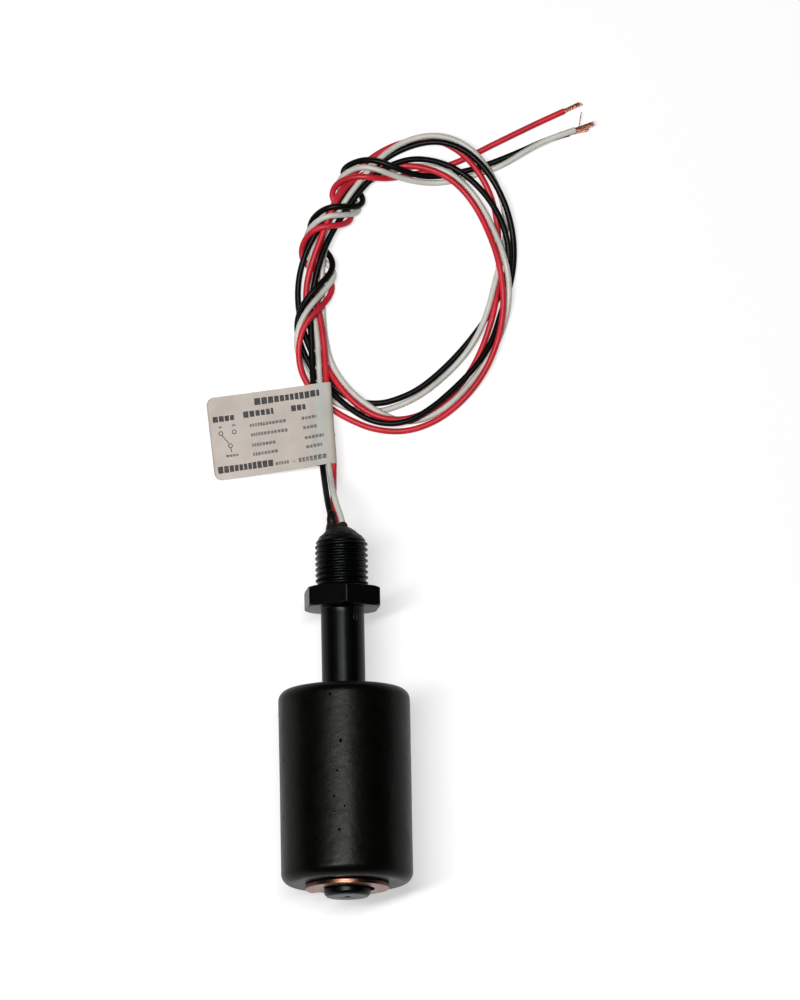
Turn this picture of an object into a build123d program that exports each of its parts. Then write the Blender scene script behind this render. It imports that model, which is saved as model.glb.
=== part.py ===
"""A magnetic float level switch lying on its side, with its three leads in a loose loop.

Millimetres. The stem's axis runs along Y at the float's radius above the surface, with the thread
and the leads towards +Y. Places along the stem are measured from its free end.
"""

import os
from math import cos, pi, radians, sin, tan

from build123d import *

# Float: a foam cylinder that rolls on the surface, so it sets the height of the axis.
FLOAT_RADIUS = 17.5
FLOAT_LENGTH = 52.0
FLOAT_EDGE = 2.9
FLOAT_BORE_PLAY = 0.3
FLOAT_BORE_CHAMFER = 0.6
FLOAT_TRAVEL = 21.4
STOP_GAP = 0.35

# Ring magnet, sealed in the middle of the float.
MAGNET_WALL = 1.1
MAGNET_THICKNESS = 3.4
MAGNET_LENGTH = 8.0

# Stem and plug, one moulding.
STEM_RADIUS = 5.75
COLLAR_RADIUS = 6.15
COLLAR_ABOVE_CLIP = 0.9
END_CHAMFER = 0.65
END_DIMPLE_RADIUS = 0.7
END_DIMPLE_DEPTH = 0.4
CLIP_SEAT = 2.0
STEM_BORE_RADIUS = 4.0
STEM_END_WALL = 5.0
HEX_FLATS = 19.0
HEX_HEIGHT = 5.4
HEX_TURN = 7.2
HEX_CORNER_CUT = 0.9
HEX_CHAMFER_SLOPE = 30.0
THREAD_RADIUS = 7.0
THREAD_LENGTH = 13.6
THREAD_LEAD_IN = 1.06
THREAD_LEAD_LENGTH = 1.5

# Snap ring with three lugs that sit in the stem's groove.
CLIP_THICKNESS = 1.0
CLIP_RADIUS = 11.1
CLIP_SIDE_PLAY = 0.05
CLIP_SEAT_PLAY = 0.03
GROOVE_RADIUS = 5.0
CLIP_MOUTH_AT = -115.0
CLIP_MOUTH_HALF = 4.2
CLIP_MOUTH_FLARE = 6.8
CLIP_RELIEF_DEPTH = 2.2
CLIP_LUG_HALF_ANGLE = 15.0
CLIP_RELIEF_END = 94.0
CLIP_RELIEF_TAPER = 4.0
CLIP_CORNER = 0.7

# Changeover reed switch, opposite the magnet when the float is at the top of its travel.
GLASS_RADIUS = 2.65
GLASS_WALL = 0.6
GLASS_LENGTH = 34.0
GLASS_SEAL = 4.5
GLASS_DROP = 0.9
CUSHION_PLAY = 0.05
CUSHION_SLOT = 2.0
CUSHION_MARGIN = 3.0
BLADE_THICKNESS = 0.3
BLADE_WIDTH = 1.6
BLADE_LENGTH = 17.0
BLADE_ROOT_GAP = 0.05
TERMINAL_RADIUS = 0.35
TERMINAL_INSIDE = 1.0
CONTACT_THICKNESS = 0.4
CONTACT_WIDTH = 1.6
CONTACT_OVERLAP = 2.5
CONTACT_PLAY = 0.03
CONTACT_GAP = 0.4
RETURN_RADIUS = 0.6
RETURN_HEIGHT = 3.2
TERMINAL_BELOW = 5.0

# Potting and the soldered joints inside it.
POTTING_PROUD = 3.4
POTTING_DEPTH = 17.0
MOUND_BASE_RADIUS = 5.0
MOUND_TOP_RADIUS = 2.35
MOUND_LEAN = (-0.9, 0.1)
JOINT_RADIUS = 1.25
JOINT_LENGTH = 7.0
LEAD_IN_JOINT = 2.0

# Leads.
LEAD_RADIUS = 0.8
STRAND_RADIUS = 0.5
STRAND_EMBED = 2.0
BEND_SHARE = 0.45

# The leads' free routes: x in the part's frame, y from the potting's end, and z above the
# surface. The first points of a start route, by the stem, have their z from the stem's axis.
START_BY_STEM = 5
START_ROUTES = {
    "black": [
        (-2.27, -10.0, 0.4), (-2.25, -4.5, 0.45), (-2.45, 1.5, 0.35), (-3.35, 6.3, -1.6),
        (-3.9, 10.9, -6.1), (-4.35, 15.5, 6.9), (-4.9, 21.0, 5.8), (-5.62, 28.0, 4.88),
        (-6.2, 35.0, 4.1), (-6.9, 42.5, 3.15), (-7.0, 47.5, 2.9),
    ],
    "white": [
        (1.45, -10.0, 1.7), (0.95, -4.5, 1.25), (0.4, 1.3, 0.85), (-1.3, 6.5, -1.0),
        (-2.1, 10.9, -5.2), (-2.65, 15.3, 7.1), (-3.2, 21.0, 5.8), (-3.92, 28.0, 4.88),
        (-4.5, 35.0, 4.1), (-5.15, 42.5, 3.12), (-5.25, 47.5, 2.9),
    ],
    "red": [
        (0.8, -10.0, -2.15), (0.2, -4.5, -1.6), (-0.7, 1.3, -1.2), (-1.9, 6.3, -3.5),
        (-1.3, 10.9, -7.6), (-0.95, 15.3, 6.5), (-1.5, 21.0, 5.75), (-2.22, 28.0, 4.88),
        (-2.8, 35.0, 4.1), (-3.4, 42.5, 3.15), (-3.5, 47.5, 2.9),
    ],
}
TAIL_ROUTES = {
    "red": [
        (36.0, 102.1, 0.9), (40.7, 104.4, 0.86), (45.3, 106.6, 0.88), (50.4, 109.0, 0.86),
        (55.8, 111.5, 0.88), (61.3, 113.9, 0.86),
    ],
    "black": [
        (37.5, 98.6, 0.86), (41.6, 100.1, 0.88), (46.0, 101.75, 0.86), (50.5, 103.6, 0.88),
        (54.8, 105.5, 0.86), (58.8, 106.9, 0.88), (62.5, 107.8, 0.86),
    ],
    "white": [
        (39.0, 97.3, 0.86), (43.0, 98.7, 0.86), (47.2, 100.35, 1.25), (51.5, 102.6, 2.2),
        (55.6, 105.0, 2.55), (60.0, 106.85, 2.6), (64.2, 108.5, 2.3),
    ],
}
STRAND_LENGTHS = {"red": 5.2, "black": 5.6, "white": 5.4}

# The coil's outer shape: two turns of three leads, with their ends wound round its left side.
COIL_OUTSIDE = [
    (-8.0, 42.5), (-11.9, 52.0), (-11.0, 72.0), (-7.5, 86.5), (0.5, 97.5), (6.5, 102.5),
    (15.0, 106.5), (26.0, 109.0), (36.0, 105.5), (43.5, 95.5), (48.0, 80.0), (46.6, 58.0),
    (42.0, 44.0), (32.0, 33.0), (21.0, 27.0), (11.5, 26.6), (2.0, 31.0), (-3.0, 36.0),
]
COIL_INSIDE = [
    (-1.6, 45.5), (-3.2, 60.0), (-1.3, 71.0), (2.4, 85.0), (8.6, 95.0), (19.0, 96.4),
    (30.0, 95.0), (37.2, 86.0), (41.2, 74.0), (40.8, 60.0), (34.5, 49.0), (24.0, 40.0),
    (14.0, 35.0), (5.0, 37.5),
]
COIL_HEIGHT = 3.5
COIL_TOP_EDGE = 1.2
WOUND_HEIGHT = 6.6
WOUND_TOP_EDGE = 1.6
WOUND_SIDE = [
    (-11.2, 50.0), (-10.6, 71.5), (-7.2, 86.0), (0.3, 96.6), (6.5, 101.6), (11.5, 101.4),
    (11.0, 96.4), (6.8, 93.8), (1.8, 85.0), (-1.9, 71.5), (-3.6, 60.0), (-2.6, 50.0),
]
COIL_UNDER_LABEL = 1.65

# Paper label: two leaves stuck together, with a loop at their right edge round the leads.
LABEL_TURN = 5.5
LABEL_HEIGHT = 22.4
LABEL_LEAF = 27.3
LABEL_THICKNESS = 0.3
LABEL_LOOP_WIDTH = 6.2
LABEL_LOOP_HEIGHT = 2.3
LABEL_PAPER = 0.15
LOOP_END_SHARE = 0.6
LABEL_CORNER = (-2.95, 18.6)
LABEL_LOW_END = 6.12
LABEL_FAR_END = 3.4
LABEL_EDGE_HEIGHT = 0.2
LABEL_ROOM = 0.5

# Worked out from the sizes above.
AXIS_HEIGHT = FLOAT_RADIUS
clip_top = CLIP_SEAT + CLIP_SIDE_PLAY + CLIP_THICKNESS
float_bottom = clip_top + STOP_GAP
float_top = float_bottom + FLOAT_LENGTH
float_bore_radius = COLLAR_RADIUS + FLOAT_BORE_PLAY
hex_base = float_top + FLOAT_TRAVEL + STOP_GAP
hex_top = hex_base + HEX_HEIGHT
thread_end = hex_top + THREAD_LENGTH
potting_end = thread_end + POTTING_PROUD
magnet_at_top = (float_bottom + float_top) / 2 + FLOAT_TRAVEL
glass_low = magnet_at_top - GLASS_LENGTH / 2
glass_high = magnet_at_top + GLASS_LENGTH / 2
glass_height = AXIS_HEIGHT - GLASS_DROP
stem_start = -potting_end / 2
lead_exit = stem_start + potting_end


def at(distance):
    """The y of a place at that distance from the stem's free end."""
    return stem_start + distance


def across(distance, height=AXIS_HEIGHT, x=0.0):
    """A plane across the stem, with x to the right, up the page and facing the free end."""
    return Plane(origin=(x, at(distance), height), x_dir=(1, 0, 0), z_dir=(0, -1, 0))


stem_plane = Plane(origin=(0, stem_start, AXIS_HEIGHT), x_dir=(1, 0, 0), z_dir=(0, 0, 1))
stem_axis = Axis(origin=(0, 0, AXIS_HEIGHT), direction=(0, 1, 0))
glass_plane = Plane(origin=(0, stem_start, glass_height), x_dir=(1, 0, 0), z_dir=(0, 0, 1))
glass_axis = Axis(origin=(0, 0, glass_height), direction=(0, 1, 0))

def finish(piece, name):
    """Label a finished piece and write it to its own file."""
    piece.part.label = name
    os.makedirs("parts", exist_ok=True)
    export_step(piece.part, f"parts/{name}.step")


def route_points(route, by_stem=0):
    """A free route's points in the part's frame, the first by_stem of them from the stem's axis."""
    points = [Vector(x, lead_exit + y, z) for x, y, z in route]
    return [p + Vector(0, 0, AXIS_HEIGHT) for p in points[:by_stem]] + points[by_stem:]


def bend_radii(points):
    """The largest arc that each corner of a route leaves room for."""
    radii = []
    for before, corner, after in zip(points, points[1:], points[2:]):
        turn = (corner - before).get_angle(after - corner)
        shorter = min((corner - before).length, (after - corner).length)
        radii.append(BEND_SHARE * shorter / tan(radians(turn) / 2))
    return radii


def tube(points, radius, name):
    """A lead's stretch as straight runs joined by tangent arcs."""
    radii = bend_radii(points)
    with BuildPart() as piece:
        with BuildLine() as path:
            FilletPolyline(*points, radius=radii)
        with BuildSketch(Plane(path.line @ 0, z_dir=path.line % 0)):
            Circle(radius)
        sweep()
    length = path.wire().length
    share = piece.part.volume / (pi * radius**2 * length)
    print(f"{name}: {length:.1f} mm long, volume {share:.4f} of section times length")
    print("  radii", " ".join(f"{r:.0f}" for r in radii))
    return piece


# Plug and stem: a turned profile, the hexagon with its corners cut, and a blind bore.
groove_far = clip_top + CLIP_SIDE_PLAY
collar_end = groove_far + COLLAR_ABOVE_CLIP
corner_radius = HEX_FLATS / 2 / cos(radians(30))
corner_cut_length = HEX_CORNER_CUT * tan(radians(HEX_CHAMFER_SLOPE))
with BuildPart() as plug_stem:
    with BuildSketch(stem_plane):
        with BuildLine():
            Polyline(
                (0, END_DIMPLE_DEPTH),
                (END_DIMPLE_RADIUS, 0),
                (COLLAR_RADIUS - END_CHAMFER, 0),
                (COLLAR_RADIUS, END_CHAMFER),
                (COLLAR_RADIUS, CLIP_SEAT),
                (GROOVE_RADIUS, CLIP_SEAT),
                (GROOVE_RADIUS, groove_far),
                (COLLAR_RADIUS, groove_far),
                (COLLAR_RADIUS, collar_end),
                (STEM_RADIUS, collar_end),
                (STEM_RADIUS, hex_base),
                (THREAD_RADIUS, hex_base),
                (THREAD_RADIUS, thread_end - THREAD_LEAD_LENGTH),
                (THREAD_RADIUS - THREAD_LEAD_IN, thread_end),
                (0, thread_end),
                close=True,
            )
        make_face()
    revolve(axis=stem_axis)
    with BuildSketch(across(hex_base)) as hexagon:
        RegularPolygon(HEX_FLATS / 2, 6, major_radius=False, rotation=90 - HEX_TURN)
    extrude(amount=-HEX_HEIGHT)
    with BuildSketch(stem_plane):
        for face, inward in ((hex_base, 1), (hex_top, -1)):
            with BuildLine():
                Polyline(
                    (corner_radius - HEX_CORNER_CUT, face),
                    (corner_radius + HEX_CORNER_CUT, face),
                    (corner_radius + HEX_CORNER_CUT, face + 2 * inward * corner_cut_length),
                    close=True,
                )
            make_face()
    revolve(axis=stem_axis, mode=Mode.SUBTRACT)
    with BuildSketch(across(STEM_END_WALL)):
        Circle(STEM_BORE_RADIUS)
    extrude(amount=-(thread_end - STEM_END_WALL), mode=Mode.SUBTRACT)
finish(plug_stem, "plug_stem")

# Snap ring: outer disc, relieved between its three lugs, with a flared mouth.
clip_inner = GROOVE_RADIUS + CLIP_SEAT_PLAY
relief_radius = clip_inner + CLIP_RELIEF_DEPTH
relief_span = CLIP_RELIEF_END - CLIP_LUG_HALF_ANGLE
mouth_reach = CLIP_RADIUS + CLIP_THICKNESS
mouth_way = Vector(1, 0).rotate(Axis.Z, CLIP_MOUTH_AT)
mouth_side = mouth_way.rotate(Axis.Z, 90)


def from_stem_axis(edge):
    """How far the middle of an edge is from the stem's axis."""
    middle = edge.center()
    return Vector(middle.X, 0, middle.Z - AXIS_HEIGHT).length


with BuildPart() as retaining_clip:
    with BuildSketch(across(CLIP_SEAT + CLIP_SIDE_PLAY)):
        Circle(CLIP_RADIUS)
        Circle(clip_inner, mode=Mode.SUBTRACT)
        for side in (-1, 1):
            first = CLIP_MOUTH_AT + 180 + side * CLIP_LUG_HALF_ANGLE
            taper = side * CLIP_RELIEF_TAPER
            span = side * relief_span
            with BuildLine():
                inner_arc = CenterArc((0, 0), GROOVE_RADIUS - CLIP_SEAT_PLAY, first, span)
                outer_arc = CenterArc((0, 0), relief_radius, first + taper, span - 2 * taper)
                Line(inner_arc @ 0, outer_arc @ 0)
                Line(inner_arc @ 1, outer_arc @ 1)
            make_face(mode=Mode.SUBTRACT)
        with BuildLine():
            Polyline(
                mouth_side * CLIP_MOUTH_HALF,
                mouth_way * clip_inner + mouth_side * CLIP_MOUTH_HALF,
                mouth_way * mouth_reach + mouth_side * CLIP_MOUTH_FLARE,
                mouth_way * mouth_reach - mouth_side * CLIP_MOUTH_FLARE,
                mouth_way * clip_inner - mouth_side * CLIP_MOUTH_HALF,
                mouth_side * -CLIP_MOUTH_HALF,
                close=True,
            )
        make_face(mode=Mode.SUBTRACT)
    extrude(amount=-CLIP_THICKNESS)
    across_edges = retaining_clip.edges().filter_by(Axis.Y)
    tips = [edge for edge in across_edges if abs(from_stem_axis(edge) - CLIP_RADIUS) < 0.01]
    fillet(tips, CLIP_CORNER)
finish(retaining_clip, "retaining_clip")

# Float: foam with rounded ends, a chamfered bore and a sealed pocket for the magnet.
magnet_inner = float_bore_radius + MAGNET_WALL
magnet_outer = magnet_inner + MAGNET_THICKNESS
magnet_low = (float_bottom + float_top - MAGNET_LENGTH) / 2
with BuildPart() as float_magnet:
    with BuildSketch(across(magnet_low)):
        Circle(magnet_outer)
        Circle(magnet_inner, mode=Mode.SUBTRACT)
    extrude(amount=-MAGNET_LENGTH)
finish(float_magnet, "float_magnet")

with BuildPart() as float_body:
    with BuildSketch(across(float_bottom)):
        Circle(FLOAT_RADIUS)
        Circle(float_bore_radius, mode=Mode.SUBTRACT)
    extrude(amount=-FLOAT_LENGTH)
    rims = float_body.edges().filter_by(GeomType.CIRCLE).sort_by(SortBy.RADIUS)
    fillet(rims[-2:], FLOAT_EDGE)
    chamfer(rims[:2], FLOAT_BORE_CHAMFER)
    add(float_magnet.part, mode=Mode.SUBTRACT)
finish(float_body, "float")

# Reed glass: a sealed tube, open only where its three terminals pass the seals.
blade_root = glass_low + GLASS_SEAL + TERMINAL_INSIDE + BLADE_ROOT_GAP
blade_tip = blade_root + BLADE_LENGTH
contact_tip = blade_tip - CONTACT_OVERLAP
contact_offset = BLADE_THICKNESS / 2 + CONTACT_THICKNESS / 2
closed_height = glass_height + contact_offset + CONTACT_PLAY
open_height = glass_height - contact_offset - CONTACT_GAP
joint_low = potting_end - POTTING_PROUD - POTTING_DEPTH + 2.0
joint_high = joint_low + JOINT_LENGTH
start_points = {name: route_points(START_ROUTES[name], START_BY_STEM) for name in START_ROUTES}
joint_places = {name: points[0] for name, points in start_points.items()}


def joint_plane(name):
    """A plane across the stem on the axis of a lead's soldered joint."""
    place = joint_places[name]
    return across(joint_low, place.Z, place.X)


def contact(height, colour, name):
    """A fixed contact strip with a round terminal that bends out to its soldered joint."""
    x, z = joint_places[colour].X, joint_places[colour].Z
    seal = glass_high - GLASS_SEAL
    with BuildPart() as piece:
        with BuildSketch(across(contact_tip, height)):
            Rectangle(CONTACT_WIDTH, CONTACT_THICKNESS)
        extrude(amount=-(seal - TERMINAL_INSIDE - contact_tip))
        with BuildLine() as path:
            bends = [
                Vector(0, at(seal - 2 * TERMINAL_INSIDE), height),
                Vector(0, at(glass_high + 0.6), height),
                Vector(x, at(joint_low - 1.2), z),
                Vector(x, at(joint_low + LEAD_IN_JOINT * 2), z),
            ]
            FilletPolyline(*bends, radius=[1.2, 1.2])
        with BuildSketch(Plane(path.line @ 0, z_dir=path.line % 0)):
            Circle(TERMINAL_RADIUS)
        sweep()
    finish(piece, name)
    return piece


reed_contact_closed = contact(closed_height, "white", "reed_contact_closed")
reed_contact_open = contact(open_height, "red", "reed_contact_open")

with BuildPart() as reed_common:
    with BuildSketch(across(glass_low - TERMINAL_BELOW, glass_height)):
        Circle(TERMINAL_RADIUS)
    extrude(amount=-(TERMINAL_BELOW + GLASS_SEAL + TERMINAL_INSIDE))
finish(reed_common, "reed_common")

with BuildPart() as reed_blade:
    with BuildSketch(across(blade_root, glass_height)):
        Rectangle(BLADE_WIDTH, BLADE_THICKNESS)
    extrude(amount=-BLADE_LENGTH)
finish(reed_blade, "reed_blade")

with BuildPart() as reed_glass:
    with BuildSketch(glass_plane):
        with BuildLine():
            Polyline(
                (0, glass_low),
                (GLASS_RADIUS / 2, glass_low),
                (GLASS_RADIUS, glass_low + GLASS_RADIUS / 2),
                (GLASS_RADIUS, glass_high - GLASS_RADIUS / 2),
                (GLASS_RADIUS / 2, glass_high),
                (0, glass_high),
                close=True,
            )
        make_face()
        inside = GLASS_RADIUS - GLASS_WALL
        with BuildLine():
            Polyline(
                (0, glass_low + GLASS_SEAL),
                (inside, glass_low + GLASS_SEAL + inside / 2),
                (inside, glass_high - GLASS_SEAL - inside / 2),
                (0, glass_high - GLASS_SEAL),
                close=True,
            )
        make_face(mode=Mode.SUBTRACT)
    revolve(axis=glass_axis)
    add(reed_common.part, mode=Mode.SUBTRACT)
    add(reed_contact_closed.part, mode=Mode.SUBTRACT)
    add(reed_contact_open.part, mode=Mode.SUBTRACT)
finish(reed_glass, "reed_glass")

# Rubber cushion round the glass, slotted for the return wire.
cushion_length = GLASS_LENGTH - 2 * CUSHION_MARGIN
with BuildPart() as reed_cushion:
    with BuildSketch(across(glass_low + CUSHION_MARGIN)):
        Circle(STEM_BORE_RADIUS - CUSHION_PLAY)
        with Locations((0, -GLASS_DROP)):
            Circle(GLASS_RADIUS + CUSHION_PLAY, mode=Mode.SUBTRACT)
        with Locations((0, STEM_BORE_RADIUS)):
            slot_depth = STEM_BORE_RADIUS + GLASS_DROP
            Rectangle(CUSHION_SLOT, 2 * slot_depth, mode=Mode.SUBTRACT)
    extrude(amount=-cushion_length)
finish(reed_cushion, "reed_cushion")

# Return wire: from the common's lower end, up beside the glass, to the black lead's joint.
joint_x, joint_z = joint_places["black"].X, joint_places["black"].Z
hairpin_low = glass_low - TERMINAL_BELOW - RETURN_RADIUS
return_bends = [
    Vector(0, at(glass_low - 1.0), glass_height),
    Vector(0, at(hairpin_low - 1.5), glass_height),
    Vector(0, at(hairpin_low - 1.5), AXIS_HEIGHT + RETURN_HEIGHT - RETURN_RADIUS),
    Vector(0, at(glass_high + 1.0), AXIS_HEIGHT + RETURN_HEIGHT - RETURN_RADIUS),
    Vector(joint_x, at(joint_low - 1.2), joint_z),
    Vector(joint_x, at(joint_low + LEAD_IN_JOINT), joint_z),
]
with BuildPart() as reed_return:
    with BuildLine() as path:
        FilletPolyline(*return_bends, radius=[1.3, 1.3, 1.6, 1.6])
    with BuildSketch(Plane(path.line @ 0, z_dir=path.line % 0)):
        Circle(RETURN_RADIUS)
    sweep()
    add(reed_common.part, mode=Mode.SUBTRACT)
finish(reed_return, "reed_return")

# Leads from their joints to the coil.
starts = {}
for colour, points in start_points.items():
    starts[colour] = tube(points, LEAD_RADIUS, f"lead_{colour}_start")
    finish(starts[colour], f"lead_{colour}_start")

# Shrink sleeves over the soldered joints between the switch's terminals and the leads.
inner_ends = {
    "black": reed_return,
    "white": reed_contact_closed,
    "red": reed_contact_open,
}
joints = {}
for colour in START_ROUTES:
    with BuildPart() as joint:
        with BuildSketch(joint_plane(colour)):
            Circle(JOINT_RADIUS)
        extrude(amount=-JOINT_LENGTH)
        add(inner_ends[colour].part, mode=Mode.SUBTRACT)
        add(starts[colour].part, mode=Mode.SUBTRACT)
    joints[colour] = joint
    finish(joint, f"joint_{colour}")

# Potting: fills the bore's mouth round the joints and stands proud as a mound round the leads.
with BuildPart() as potting:
    with BuildSketch(across(thread_end - POTTING_DEPTH)):
        Circle(STEM_BORE_RADIUS)
    extrude(amount=-POTTING_DEPTH)
    with BuildSketch(across(thread_end)):
        Circle(MOUND_BASE_RADIUS)
    with BuildSketch(across(potting_end, AXIS_HEIGHT + MOUND_LEAN[1], MOUND_LEAN[0])):
        Circle(MOUND_TOP_RADIUS)
    loft()
    for buried in [*joints.values(), *starts.values(), *inner_ends.values()]:
        add(buried.part, mode=Mode.SUBTRACT)
finish(potting, "potting")

# Coil: a low ring, raised along the wound side, and thin where the label lies over it.
label_angle = radians(LABEL_TURN)
label_up = Vector(-sin(label_angle), cos(label_angle))
label_right = Vector(cos(label_angle), sin(label_angle))
label_foot = Vector(LABEL_CORNER[0], lead_exit + LABEL_CORNER[1])
loop_half = LABEL_LOOP_WIDTH / 2
label_top_right = label_foot + label_up * LABEL_HEIGHT + label_right * loop_half


def closed_bend(points):
    """A closed outline of runs and arcs, each arc as large as its corner leaves room for."""
    corners = [Vector(x, lead_exit + y) for x, y in points]
    return FilletPolyline(*corners, radius=bend_radii([corners[-1], *corners, corners[0]]), close=True)


with BuildPart() as lead_coil:
    with BuildSketch():
        with BuildLine():
            closed_bend(COIL_OUTSIDE)
        make_face()
        with BuildLine():
            closed_bend(COIL_INSIDE)
        make_face(mode=Mode.SUBTRACT)
    extrude(amount=COIL_HEIGHT)
    fillet(lead_coil.edges().group_by(Axis.Z)[-1], COIL_TOP_EDGE)
    with BuildSketch():
        with BuildLine():
            closed_bend(WOUND_SIDE)
        make_face()
    extrude(amount=WOUND_HEIGHT)
    fillet(lead_coil.edges().group_by(Axis.Z)[-1], WOUND_TOP_EDGE)
    with BuildSketch(Plane.XY.offset(COIL_UNDER_LABEL)):
        with BuildLine():
            right = label_right * (loop_half + LABEL_ROOM)
            top = label_up * (LABEL_HEIGHT + LABEL_ROOM)
            Polyline(
                label_foot + right,
                label_foot + right + top,
                label_foot + top - label_right * LABEL_LEAF,
                label_foot - label_right * LABEL_LEAF,
                close=True,
            )
        make_face()
    extrude(amount=WOUND_HEIGHT, mode=Mode.SUBTRACT)
finish(lead_coil, "lead_coil")

# Leads from the coil to their stripped ends, and the bare copper in each end.
for colour, route in TAIL_ROUTES.items():
    points = route_points(route)
    tail = tube(points, LEAD_RADIUS, f"lead_{colour}_tail")
    end, before = points[-1], points[-2]
    way = (end - before).normalized()
    with BuildPart() as strands:
        with BuildSketch(Plane(end - way * STRAND_EMBED, z_dir=way)):
            Circle(STRAND_RADIUS)
        extrude(amount=STRAND_EMBED + STRAND_LENGTHS[colour])
    with BuildPart() as stripped_tail:
        add(tail.part)
        add(strands.part, mode=Mode.SUBTRACT)
    finish(stripped_tail, f"lead_{colour}_tail")
    finish(strands, f"strands_{colour}")


def label_plane(distance):
    """A plane across the leads, at that distance from the label's lower edge."""
    foot = label_foot + label_up * distance
    return Plane(origin=(foot.X, foot.Y, 0), x_dir=label_right, z_dir=-label_up)


def loop_corners(height, half_width, half_height):
    """A flattened loop's corners, from below its left end, anticlockwise."""
    round_end = half_height * LOOP_END_SHARE
    return [
        (-half_width + round_end, height - half_height),
        (half_width - round_end, height - half_height),
        (half_width, height),
        (half_width - round_end, height + half_height),
        (-half_width + round_end, height + half_height),
    ]


half_paper = LABEL_THICKNESS / 2
half_loop_height = LABEL_LOOP_HEIGHT / 2
leaf_root = -loop_half - half_paper
leaf_edge = -loop_half - LABEL_LEAF
label_ends = [(label_plane(0), LABEL_LOW_END), (label_plane(LABEL_HEIGHT), LABEL_FAR_END)]
with BuildPart() as label:
    for plane, height in label_ends:
        with BuildSketch(plane):
            with BuildLine():
                Polyline(
                    (leaf_edge, LABEL_EDGE_HEIGHT - half_paper),
                    (leaf_root, height - half_paper),
                    *loop_corners(height, loop_half, half_loop_height),
                    (leaf_root, height + half_paper),
                    (leaf_edge, LABEL_EDGE_HEIGHT + half_paper),
                    close=True,
                )
            make_face()
    loft(ruled=True)
    for plane, height in label_ends:
        inside = loop_corners(height, loop_half - LABEL_PAPER, half_loop_height - LABEL_PAPER)
        with BuildSketch(plane):
            with BuildLine():
                Polyline((-loop_half, height), *inside, close=True)
            make_face()
    loft(ruled=True, mode=Mode.SUBTRACT)
finish(label, "label")
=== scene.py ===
from math import cos, pi, radians, sin, sqrt, tan

import bpy
import numpy as np
from mathutils import Matrix, Vector, noise


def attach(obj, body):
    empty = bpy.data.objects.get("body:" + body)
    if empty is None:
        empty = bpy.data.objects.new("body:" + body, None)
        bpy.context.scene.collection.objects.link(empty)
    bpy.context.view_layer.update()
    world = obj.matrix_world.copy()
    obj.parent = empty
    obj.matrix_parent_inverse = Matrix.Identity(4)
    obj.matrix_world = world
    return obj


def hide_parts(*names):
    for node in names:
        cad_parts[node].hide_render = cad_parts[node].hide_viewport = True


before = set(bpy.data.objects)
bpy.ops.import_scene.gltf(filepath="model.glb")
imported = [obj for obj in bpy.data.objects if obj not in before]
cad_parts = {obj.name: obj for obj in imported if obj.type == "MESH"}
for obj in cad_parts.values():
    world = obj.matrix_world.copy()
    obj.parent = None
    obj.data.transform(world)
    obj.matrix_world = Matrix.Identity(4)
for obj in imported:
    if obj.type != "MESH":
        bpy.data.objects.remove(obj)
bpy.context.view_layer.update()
scene = bpy.context.scene
MM = 0.001

# Sizes are in millimetres. The stem's axis runs along Y at the height AXIS_Z, from STEM_START
# at its free end. Places along it, such as HEX_LOW, are distances from that end.
AXIS_Z = 17.5
STEM_START = -49.775
LEAD_EXIT = 49.775
STEM_RADIUS, COLLAR_RADIUS = 5.75, 6.15
CLIP_SEAT, CLIP_TOP, GROOVE_RADIUS = 2.0, 3.05, 5.0
FLOAT_LOW, FLOAT_HIGH = 3.4, 55.4
FLOAT_RADIUS, FLOAT_BORE, FLOAT_EDGE = 17.5, 6.45, 2.9
HEX_LOW, HEX_HIGH = 77.15, 82.55
THREAD_END = 96.15


# The photograph's camera.
CAMERA_TILT, CAMERA_ROLL = radians(10.0), radians(1.04)
CAMERA_DISTANCE, SENSOR = 8.0, 36.0
CAMERA_AIM = (15.76, 56.45, AXIS_Z)
FRAME_HEIGHT = 0.265


def place_camera():
    """Looks almost straight down, from so far that the view is nearly parallel. FRAME_HEIGHT
    is what the picture's long side spans at the object, and like CAMERA_DISTANCE in metres."""
    tilt, roll = CAMERA_TILT, CAMERA_ROLL
    toward = Vector((0, -sin(tilt), cos(tilt)))
    along = Vector((0, cos(tilt), sin(tilt)))
    right = Vector((cos(roll), 0, 0)) - along * sin(roll)
    up = Vector((sin(roll), 0, 0)) + along * cos(roll)
    aim = Vector(CAMERA_AIM) * MM
    data = bpy.data.cameras.new("camera")
    data.sensor_width = SENSOR
    data.lens = SENSOR * CAMERA_DISTANCE / FRAME_HEIGHT
    camera = bpy.data.objects.new("camera", data)
    scene.collection.objects.link(camera)
    turn = Matrix((right, up, toward)).transposed().to_4x4()
    camera.matrix_world = Matrix.Translation(aim + toward * CAMERA_DISTANCE) @ turn
    scene.camera = camera


place_camera()


# Materials.
def new_material(name, rough=0.5, metal=0.0, specular=0.5, **sockets):
    """A material, its shader and its place in the object's own metres."""
    mat = bpy.data.materials.new(name)
    mat.use_nodes = True
    shader = mat.node_tree.nodes["Principled BSDF"]
    shader.inputs["Roughness"].default_value = rough
    shader.inputs["Metallic"].default_value = metal
    shader.inputs["Specular IOR Level"].default_value = specular
    for key, value in sockets.items():
        shader.inputs[key.replace("_", " ")].default_value = value
    place = mat.node_tree.nodes.new("ShaderNodeTexCoord").outputs["Object"]
    return mat, shader, place


def node(mat, kind, **values):
    """A new node, each value set on the node itself or else on the socket of that name."""
    made = mat.node_tree.nodes.new(kind)
    for key, value in values.items():
        if hasattr(made, key):
            setattr(made, key, value)
        else:
            made.inputs[key.replace("_", " ")].default_value = value
    return made


def link(mat, start, end):
    mat.node_tree.links.new(start, end)


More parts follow.
